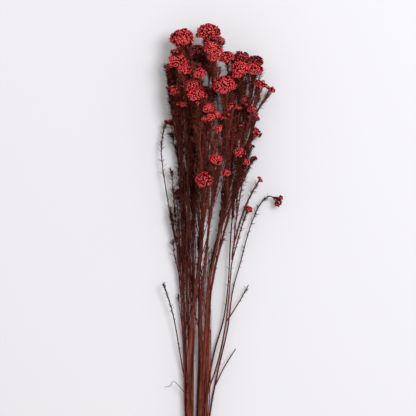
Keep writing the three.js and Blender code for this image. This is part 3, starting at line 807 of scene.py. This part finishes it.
def side_twigs(strand, rng):
    """Paths and radii of the fine twigs of one strand. A path is start + length * (u * strand
    direction + spread * (u - 0.4 u^2) * sideways), with u from 0 to 1, plus a small sway. A twig needs
    more strands near it low down than high up, and is kept only if it ends among others."""
    height = level(strand["points"])
    near, inner = crowd(strand["points"])
    ready = np.flatnonzero((height > 0.27) & (height < 0.95) & (near > 27 - 22 * height))
    low = strand["points"][:, 2].mean() < PRESSED
    share = (1.8 if low else 1) * (AIRY if strand["points"][-1, 0] > MID_ACROSS + OPEN_SIDE else 1)
    count = int(len(ready) * SLICE / MM * TWIGS_PER_MM * share)
    if count == 0 or (np.mean(near < SPARSE) > 0.35 and height[-1] < LOFTY):
        return np.empty((0, TWIG_RINGS, 3)), np.empty((0, TWIG_RINGS))
    likely = height[ready] ** (5 if low else 2.4)
    at = rng.choice(ready, count, p=likely / likely.sum())
    start, along = strand["points"][at], directions(strand["points"])[at]
    inwards = inner[at] - start
    inwards -= along * np.sum(inwards * along, axis=1, keepdims=True)
    sideways = unit((random_square(rng, along) + INWARD_PULL * inwards) * (1, 1, 0.2 if low else 1))
    length = rng.uniform(60, 150, count) * MM * (1.25 - height[at])
    spread = rng.uniform(0.02, 0.34 if low else 0.22, count)
    room = canopy(start[:, 0]) - 3 * MM - start[:, 1]
    kept = room > ROOM
    start, along, sideways, spread = start[kept], along[kept], sideways[kept], spread[kept]
    length = np.minimum(length[kept], room[kept])
    count = len(length)
    u = np.linspace(0, 1, TWIG_RINGS)[None, :, None]
    paths = start[:, None] + length[:, None, None] * (
        u * along[:, None] + spread[:, None, None] * (u - 0.4 * u ** 2) * sideways[:, None])
    sway = rng.normal(0, 1.0 * MM, (count, 1, 3)) * np.sin(rng.uniform(4, 9, (count, 1, 1)) * u)
    paths = paths + sway * u
    paths[..., 2] = np.maximum(paths[..., 2], LOWEST)
    radii = rng.uniform(0.45, 0.85, (count, 1)) * MM * (1 - 0.6 * u[..., 0])
    paths, radii = end_under_heads(paths, radii)
    tips = paths[:, -1]
    among = (crowd(tips)[0] >= 8) | (level(tips) > 0.9)
    among &= tips[:, 1] < canopy(tips[:, 0]) + 1 * MM
    return paths[among], radii[among]


# %% [markdown]
# ## Branches under a head
# The stem below a head splits into many thin leafy branches, which rise together and spread only at the
# end, under the head. Seen from the side they fill the space below each head with a dark brush. Straight
# lines would make a stiff cone, so each is a curve that first goes on as its stem does. The heads at the
# right edge have an open fan of bare branches, with light between them.

# %% Grow the branches under a head
STALKS_PER_MM = 0.55  # branches for each millimetre of a head's radius


def under_stalks(strand, head, rng):
    """Paths and radii of the branches. A path is (1 - u)^2 * start + 2 u (1 - u) * bend + u^2 * end,
    where the bend lies straight on from the start, and the end lies under the head."""
    points = strand["points"]
    fans_out = head["node"] in FAN_LENGTH
    count = max(3, round(head["radius"] / MM * STALKS_PER_MM * (1.6 if fans_out else 1)))
    at = len(points) - 1 - np.minimum(rng.integers(3, 13, count), len(points) - 2)
    turn, out = rng.uniform(0, 2 * np.pi, count), 0.9 * np.sqrt(rng.uniform(0, 1, count))
    under = np.stack([out * np.cos(turn), out * np.sin(turn), 0.3 * out - 0.4], -1)
    start, end = points[at], head["middle"] + turned_to(head["axis"], under) * head["radius"]
    bend = start + directions(points)[at] * 0.6 * np.linalg.norm(end - start, axis=1, keepdims=True)
    u = np.linspace(0, 1, TWIG_RINGS)[None, :, None]
    paths = (1 - u) ** 2 * start[:, None] + 2 * u * (1 - u) * bend[:, None] + u ** 2 * end[:, None]
    paths[..., 2] = np.maximum(paths[..., 2], LOWEST)
    radii = rng.uniform(0.35, 0.6, (count, 1)) * MM * (1 - 0.3 * u[..., 0])
    return end_under_heads(paths, radii, head_nodes.index(head["node"]))


# %% [markdown]
# ## Needle leaves
# The leaves are 2 to 8 mm long, under a millimetre wide, and curl. A flat strip would vanish when seen on
# edge, so every one is a little three-sided tube of twelve faces with a pointed tip. They sit all round
# branches and twigs, crowd near the tips and are nearly gone from the old wood low down.

# %% Place needle leaves along paths
NEEDLE_WIDTHS = np.array([0.85, 1.0, 0.15])
NEEDLE_SIDES = 3
LEAVES_PER_MM = {"wood": 1.15, "twig": 0.19, "lone": 0.75}
YOUNG = 35 * MM  # the length below a tip over which its leaves thin out


def needles(origins, along, rng, longest=8.5):
    """Paths and radii of needles. A path is origin + length * (u * (cos a * along + sin a * outward)
    + curl * u^2 * outward), where a is the opening angle."""
    count = len(origins)
    outward = random_square(rng, along)
    angle = np.radians(rng.uniform(18, 60, (count, 1, 1)))
    length = rng.uniform(0.55, 1.0, (count, 1, 1)) * longest * MM
    length *= 0.5 + 0.5 * np.clip((level(origins) - 0.3) / 0.35, 0, 1)[:, None, None]
    curl = rng.uniform(-0.7, 0.35, (count, 1, 1))
    u = np.linspace(0, 1, len(NEEDLE_WIDTHS))[None, :, None]
    lean = np.cos(angle) * along[:, None] + np.sin(angle) * outward[:, None]
    paths = origins[:, None] + length * (u * lean + curl * u ** 2 * outward[:, None])
    paths[..., 2] = np.maximum(paths[..., 2], 0.5 * MM)
    return paths, rng.uniform(0.28, 0.42, (count, 1)) * MM * NEEDLE_WIDTHS


def bare_below(points):
    """The level below which leaves have fallen: lower down on the left side than on the right."""
    return np.where(points[:, 0] < MID_ACROSS - 30 * MM, 0.12, 0.34)


def needle_places(points, kind, rng, step):
    """Where needles start on a path whose points lie `step` apart, and the path's directions there.
    How many is a Poisson number whose mean rises with height and falls with the distance from the tip.
    Branches carry more than the fine twigs between them, and twigs that stand alone more than those."""
    leafy = 0.10 + 0.90 * np.clip((level(points) - bare_below(points)) / 0.26, 0, 1)
    per_mm = np.where(crowd(points)[0] < SPARSE, LEAVES_PER_MM["lone"], LEAVES_PER_MM[kind])
    young = np.exp(-np.arange(len(points))[::-1] * step / YOUNG)
    wanted = rng.poisson(per_mm * leafy * (0.35 + 3.0 * young) * step / MM)
    at = np.minimum(np.repeat(np.arange(len(points)), wanted), len(points) - 2)
    slide = rng.uniform(0, 1, (len(at), 1))
    return points[at] * (1 - slide) + points[at + 1] * slide, directions(points)[at]


# %% [markdown]
# ## Stems with bark
# Real stems aren't round rods: they have long flutes, old leaf scars and slow changes of thickness. A plain
# tube with a bump texture would keep a smooth outline, so the shape itself changes: a strand becomes a
# tube, with 16 sides if it is thick and 8 if it is thin, and its radius swells by a few sine waves that run
# along and round it. The swell also paints light and shade on the bark: light on its ridges and painted
# shade in its grooves.

# %% Bark
SLIMMER = 0.80  # a fluted stem fills only this share of the round CAD stem's width
THICK = 1.4 * MM  # a strand whose radius is greater than this somewhere is a thick one


def resampled(strand, step):
    """The strand's points and radii at an even step along its length, and how far along each lies."""
    points, radii = strand["points"], strand["radii"]
    length = np.concatenate([[0], np.cumsum(np.linalg.norm(np.diff(points, axis=0), axis=1))])
    at = np.linspace(0, length[-1], max(6, int(length[-1] / step)))
    rows = [np.interp(at, length, column) for column in points.T]
    return np.stack(rows, -1), np.interp(at, length, radii), at


def bark_swell(at, sides, rng):
    """Share by which each ring point stands out: four flutes that turn slowly, each a sine of
    (turns * angle + a little * distance), one slow wave along the stem, and scars, each a high power
    of a sine so that it stands out only now and then."""
    angle = (2 * np.pi * np.arange(sides) / sides)[None, :]
    s = at[:, None] / MM
    flutes = [rng.uniform(0.03, 0.07) * np.sin(turns * angle + s * rng.uniform(0.01, 0.05) + any_phase(rng))
              for turns in (1, 2, 3, 5)]
    slow = 0.05 * np.sin(s * 0.11 + any_phase(rng)) * np.sin(s * 0.037 + any_phase(rng))
    scars = 0.07 * np.maximum(0, np.sin(s * 0.62 + any_phase(rng) + 2 * angle)) ** 6
    return sum(flutes) + slow + scars


def strand_tone(strand):
    """Thick and high strands are bright red-brown, and thin or low ones, and those at the left, darker; the
    darkening of low ones is painted shade.
    """
    thick = np.clip((strand["radii"].max() / MM - 0.9) / 2.2, 0, 1)
    # painted shade: strands lower above the table are darker
    high = np.clip(np.mean(strand["points"][:, 2]) / (45 * MM), 0, 1)
    return 0.12 + 0.30 * thick + 0.30 * high - 0.16 * (strand["points"][0, 0] < MID_ACROSS)


def bark_tube(strand, rng):
    """A strand's tube. Its shade is the strand's tone, plus the swell, which paints light on the ridges and
    shade in the grooves, plus a little chance ring by ring, and fades with height. A stem's lower end is cut
    wood; a branch's is hidden in its stem."""
    thick = strand["radii"].max() > THICK
    sides = 16 if thick else 8
    points, radii, at = resampled(strand, 2.2 * MM if thick else 3 * MM)
    swell = bark_swell(at, sides, rng)
    tube = tube_patch(points[None], radii[None] * (SLIMMER if thick else 1), sides, swell=swell[None])
    faded = 1 - 0.65 * np.clip((level(points) - 0.30) / 0.22, 0, 1)[:, None]
    # painted light and shade: ridges of the swell lighter, grooves darker
    streaks_and_groove_shade = (strand_tone(strand) + rng.normal(0, 0.1) + 4.5 * swell) * faded
    streaks_and_groove_shade = streaks_and_groove_shade + 0.10 * rng.normal(size=(len(at), 1))
    tube["shade"] = np.clip(np.append(streaks_and_groove_shade.ravel(), streaks_and_groove_shade[[0, -1], 0]), 0, 1)
    if not strand["branch"]:
        walls, ends = tube["faces"]
        tube["faces"] = [walls, ends[:sides], ends[sides:]]
        tube["finish"] = [0, 2, 0]
    return tube


print("strands with thick bark:", sum(strand["radii"].max() > THICK for strand in all_strands))

# %% [markdown]
# ## Old twigs on the stems
# Thin old twigs with few leaves left lie along the thick stems, held in place by the bunch. Shrinkwrap could
# lay a curve on a stem, but the stem's own path and radius say where its surface is. One more dry twig
# stands out low at the left and curls back on itself.

# %% Climbing and curled twigs
CLIMB_STEP = 3 * MM
CLIMBED = 2 * MM  # a stem whose foot has a greater radius than this carries climbing twigs
CURL_FROM = 21  # the slice at which the curled twig leaves its stem
CURL_RINGS = 40


def climbing_twigs(strand, rng, count=4, rings=40):
    """Paths and radii of old twigs that lie along a thick stem. A point is the stem's point plus
    (radius + a little) * (cos a * side + sin a * over), where a drifts slowly; both ends sink in."""
    points, radii, _ = resampled(strand, CLIMB_STEP)
    first = rng.integers(2, len(points) * 3 // 5, (count, 1))
    at = first + rng.integers(25, 70, (count, 1)) * np.linspace(0, 1, rings)
    at = np.minimum(at, len(points) - 1).astype(int)
    u = np.linspace(0, 1, rings)
    _, side, over = side_vectors(points[None])
    turn = rng.uniform(0, np.pi, (count, 1)) + rng.uniform(-1.2, 1.2, (count, 1)) * u
    turn = turn + 0.25 * np.sin(u * rng.uniform(6, 20, (count, 1)))
    thick = rng.uniform(0.5, 0.9, (count, 1)) * MM * (1 - 0.35 * u)
    sunk = np.clip(np.minimum(u, 1 - u) * 14, 0, 1)
    astray = rng.uniform(0, 4, (count, 1)) * MM * np.sin(np.pi * u)
    reach = (radii[at] * SLIMMER + thick * 0.6 + astray) * sunk
    paths = points[at] + reach[..., None] * (np.cos(turn)[..., None] * side[0][at]
                                             + np.sin(turn)[..., None] * over[0][at])
    paths[:, 1:-1] = (paths[:, :-2] + 2 * paths[:, 1:-1] + paths[:, 2:]) / 4
    paths[..., 2] = np.maximum(paths[..., 2], thick + 0.2 * MM)
    return paths, thick


def curled_twig(strand):
    """A hair-thin dry twig low on the left: it leans out at 131 degrees, bends down by 115 degrees past
    its middle, and near its end turns back up by 60 degrees. Its path is the running sum of its steps."""
    u = np.linspace(0, 1, CURL_RINGS)
    turn = np.radians(131 + 115 * np.clip((u - 0.5) / 0.16, 0, 1) - 60 * np.clip((u - 0.74) / 0.12, 0, 1))
    steps = np.stack([np.cos(turn), np.sin(turn), 0.15 - 0.3 * u], -1) * 0.9 * MM
    path = strand["points"][CURL_FROM] + np.cumsum(steps, axis=0)
    path[:, 2] = np.maximum(path[:, 2], 1 * MM)
    return path[None], np.linspace(0.55, 0.25, CURL_RINGS)[None] * MM


whole_stems = [strand for strand in all_strands if not strand["branch"]]
leftmost = min(whole_stems, key=lambda one: one["points"][CURL_FROM, 0])
print("the curled twig grows on", leftmost["node"])

# %% [markdown]
# ## Whole stems
# A stem comes in three pieces, its wood, its leaves and its small heads, so that none is too heavy. Real
# bunches are dark inside and low down, where little light reaches. Lamps alone would not make that dark
# enough, so twigs and leaves near the table keep less of their colour: that is painted shade.

# %% Build the stems
TIP_HEADS_FROM = 0.70  # side twigs that end above this level may carry a small head


def kept_in_painted_shade(height):
    """The share of its colour that a twig or leaf keeps under painted shade, which rises evenly with height
    up to 60 mm.
    """
    return 0.35 + 0.9 * np.clip(height / (60 * MM), 0.05, 1)


def tip_heads(paths, rng):
    """Small heads of a few buds on the ends of some side twigs, each as its patches. The chance of one
    rises evenly with height."""
    grown = []
    for path in paths:
        tip, axis = path[-1], unit(path[-1] - path[-3])
        if rng.uniform() < 2.8 * (level(tip) - TIP_HEADS_FROM):
            radius = rng.uniform(2.8, 5.8) * MM
            # painted shade: small heads lower above the table are darker
            tone = 0.08 + 0.45 * np.clip(tip[2] / UPPER_LAYER, 0, 1)
            grown.append(dome(tip - axis * 0.5 * MM, tip + axis * radius, axis, radius, rng, tone, 0.8))
    return [head for head in grown if head]


def strand_wood(strand, rng):
    """The bark tube of a strand and the twigs that lie on it, and where leaves start on the strand and
    on the climbing twigs."""
    wood, climbers = [bark_tube(strand, rng)], []
    if strand["radii"][0] > CLIMBED and not strand["branch"]:
        paths, radii = climbing_twigs(strand, rng)
        wood.append(tube_patch(paths, radii, 5, rng.uniform(0.0, 0.8, len(paths))))
        climbers = [needle_places(path, "twig", rng, CLIMB_STEP) for path in paths]
    if strand is leftmost:
        wood.append(tube_patch(*curled_twig(strand), 5, 0.4))
    return wood, [needle_places(strand["points"], "wood", rng, SLICE)] + climbers


def strand_twigs(strand, rng):
    """The small heads on the side twigs of a strand; the tubes of these twigs and of the branches under
    its heads; where leaves start on each of them; and their tones."""
    paths, radii = side_twigs(strand, rng)
    small_heads = tip_heads(paths, rng)
    groups = [(paths, radii, True)]
    for head in strand.get("heads", []):
        if crowd(head["neck"][None])[0][0] > 10 or level(head["neck"]) > LOFTY:
            groups.append((*under_stalks(strand, head, rng), head["node"] not in FAN_LENGTH))
    wood, places, tones = [], [], []
    for paths, radii, leafy in groups:
        if not len(paths):
            continue
        # painted shade: twigs lower above the table keep less of their colour
        tone = rng.uniform(0.0, 1.0, len(paths)) ** 1.5 * kept_in_painted_shade(paths[..., 2].mean(1))
        wood.append(tube_patch(paths, radii, 4, 0.7 * tone if leafy else 0.5 + 0.5 * tone))
        if leafy:
            step = np.linalg.norm(paths[:, 1] - paths[:, 0], axis=1)
            places += [needle_places(path, "twig", rng, gap) for path, gap in zip(paths, step)]
            tones += tone.tolist()
    return small_heads, wood, places, tones


def leaf_patch(places, tones, rng):
    """The leaves of one strand. A leaf has the tone of its twig, plus a little chance, darkened low down as
    painted shade.
    """
    tones = np.repeat(tones, [len(origins) for origins, _ in places])
    origins, along = (np.concatenate(rows) for rows in zip(*places))
    blades, widths = needles(origins, along, rng)
    tones = (tones + rng.normal(0, 0.14, len(tones))) * kept_in_painted_shade(origins[:, 2])
    return tube_patch(blades, widths, NEEDLE_SIDES, np.clip(tones, 0, 1))


def build_stem(node):
    """One stem as pieces of wood, leaves and small heads, and how many leaves and small heads it has."""
    rng = np.random.default_rng(int(node[-2:]))
    wood, leaves, small_heads = [], [], []
    for strand in strands[node]:
        bark_tubes, places = strand_wood(strand, rng)
        heads_here, twig_tubes, twig_places, tones = strand_twigs(strand, rng)
        wood += bark_tubes + twig_tubes
        small_heads += heads_here
        tones = [0.5] * len(places) + tones
        places += twig_places
        if any(len(origins) for origins, _ in places):
            leaves.append(leaf_patch(places, tones, rng))
    add_piece(node + "_wood", wood, [bark, needle, cut_wood], [node])
    add_piece(node + "_leaves", leaves, [needle], [])
    if small_heads:
        add_piece(node + "_small_heads", sum(small_heads, []), [bud, stalk], [])
    points_of_one = len(NEEDLE_WIDTHS) * NEEDLE_SIDES + 2
    return sum(len(part["points"]) for part in leaves) // points_of_one, len(small_heads)


leaf_counts = {node: build_stem(node) for node in stem_nodes}
print("leaves and small heads:", leaf_counts)
print("in all", np.sum(list(leaf_counts.values()), axis=0))

# %% [markdown]
# ## The elastic
# A thin round elastic is wound five times round the stems, each turn lying against the last. A plain
# ring would look like a pipe clip, so it is one long tube. Its path is the outline of the CAD band, drawn
# in by half the elastic's thickness, and climbs by one thickness a turn.

# %% Wind the elastic
STOPS_SHORT = 0.15  # the share of its last turn that the elastic doesn't go round


def build_elastic(turns=5, rings=360):
    """Path point = outline point in direction a, less half the elastic along a, with the place along
    the bunch rising evenly with a. Each point is then the mean of five."""
    points, _ = welded("band")
    low, high = points.min(0), points.max(0)
    thick = (high[1] - low[1]) / turns
    angle = np.linspace(0, 2 * np.pi * (turns - STOPS_SHORT), rings)
    way = np.stack([np.cos(angle), np.sin(angle)], -1)
    flat = points[:, [0, 2]]
    outline = flat[np.argmax(flat @ way.T, axis=0)] - way * thick * 0.5
    kernel = np.ones(5) / 5
    smooth = np.stack([np.convolve(np.pad(column, 2, "edge"), kernel, "valid") for column in outline.T], -1)
    rise = low[1] + thick * (0.5 + angle / (2 * np.pi) * (turns - 1) / (turns - STOPS_SHORT))
    path = np.stack([smooth[:, 0], rise, smooth[:, 1]], -1)
    radii = np.full((1, rings), thick * 0.49)
    return add_piece("elastic_band", [tube_patch(path[None], radii, 10, 0.5)], [elastic], ["band"])


elastic_band = build_elastic()
print("elastic faces:", len(elastic_band.data.polygons))

# %% [markdown]
# ## Table
# The bunch lies on a plain pale table, so large that its edge never shows. It is only the stage, so it is
# one flat face with a plain paint.

# %% Lay the table
def build_table(side=40.0):
    """A square face at height 0 that belongs to the stage and not to the bunch."""
    mesh = bpy.data.meshes.new("table")
    corners = np.array([[-1, -1, 0], [1, -1, 0], [1, 1, 0], [-1, 1, 0]]) * side / 2
    mesh.from_pydata(corners.tolist(), [], [[0, 1, 2, 3]])
    table = bpy.data.objects.new("table", mesh)
    bpy.context.scene.collection.objects.link(table)
    paint = bpy.data.materials.new("Pale table")
    paint.use_nodes = True
    paint.node_tree.nodes["Principled BSDF"].inputs["Base Color"].default_value = (0.81, 0.81, 0.845, 1)
    paint.node_tree.nodes["Principled BSDF"].inputs["Roughness"].default_value = 0.9
    mesh.materials.append(paint)
    table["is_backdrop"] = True
    return table


print("table side in m:", build_table().dimensions.x)

# %% [markdown]
# ## Light
# Daylight from a window gives the soft shadow on the left. A small lamp would cut hard shadows between the
# buds, so one wide lamp stands to the right, and a bright even sky fills the shadows.

# %% Hang the lamp and light the sky
def soft_lamp(name, place, target, size, power, colour):
    """A square lamp at a place, turned so that it shines at the target."""
    lamp = bpy.data.lights.new(name, "AREA")
    lamp.size, lamp.energy, lamp.color = size, power, colour
    holder = bpy.data.objects.new(name, lamp)
    holder.location = place
    holder.rotation_euler = (target - holder.location).to_track_quat("-Z", "Y").to_euler()
    bpy.context.scene.collection.objects.link(holder)
    return holder


middle = Vector((cad_low + cad_high) / 2)
window = soft_lamp("window", middle + Vector((0.9, 0.7, 2.6)), middle, size=1.1, power=50,
                   colour=(0.95, 0.975, 1.0))
world = bpy.data.worlds.new("sky")
world.use_nodes = True
world.node_tree.nodes["Background"].inputs["Color"].default_value = (1.0, 0.95, 0.918, 1)
world.node_tree.nodes["Background"].inputs["Strength"].default_value = 0.60
bpy.context.scene.world = world
bpy.context.scene.view_settings.view_transform = "Standard"
print("lamp", round((window.location - middle).length, 2), "m from the bunch")

# %% [markdown]
# ## Camera
# The camera looks straight down. Close by it would widen the heads, which stand nearer to it than the
# stems, so it hangs metres away with a long lens, and nothing is stretched.

# %% Hang the camera
VIEW_SIDE = 0.541  # width of what the camera sees at the height of the bunch's middle
LOOK_AT = middle + Vector((-0.0185, 0.061, 0))
camera = bpy.data.objects.new("camera", bpy.data.cameras.new("camera"))
camera.data.lens, camera.data.sensor_width = 300, 36
distance = VIEW_SIDE * camera.data.lens / camera.data.sensor_width
camera.location = (LOOK_AT.x, LOOK_AT.y, distance + middle.z)
camera.data.clip_end = 60
bpy.context.scene.collection.objects.link(camera)
bpy.context.scene.camera = camera
print("camera", round(distance, 2), "m above the bunch")
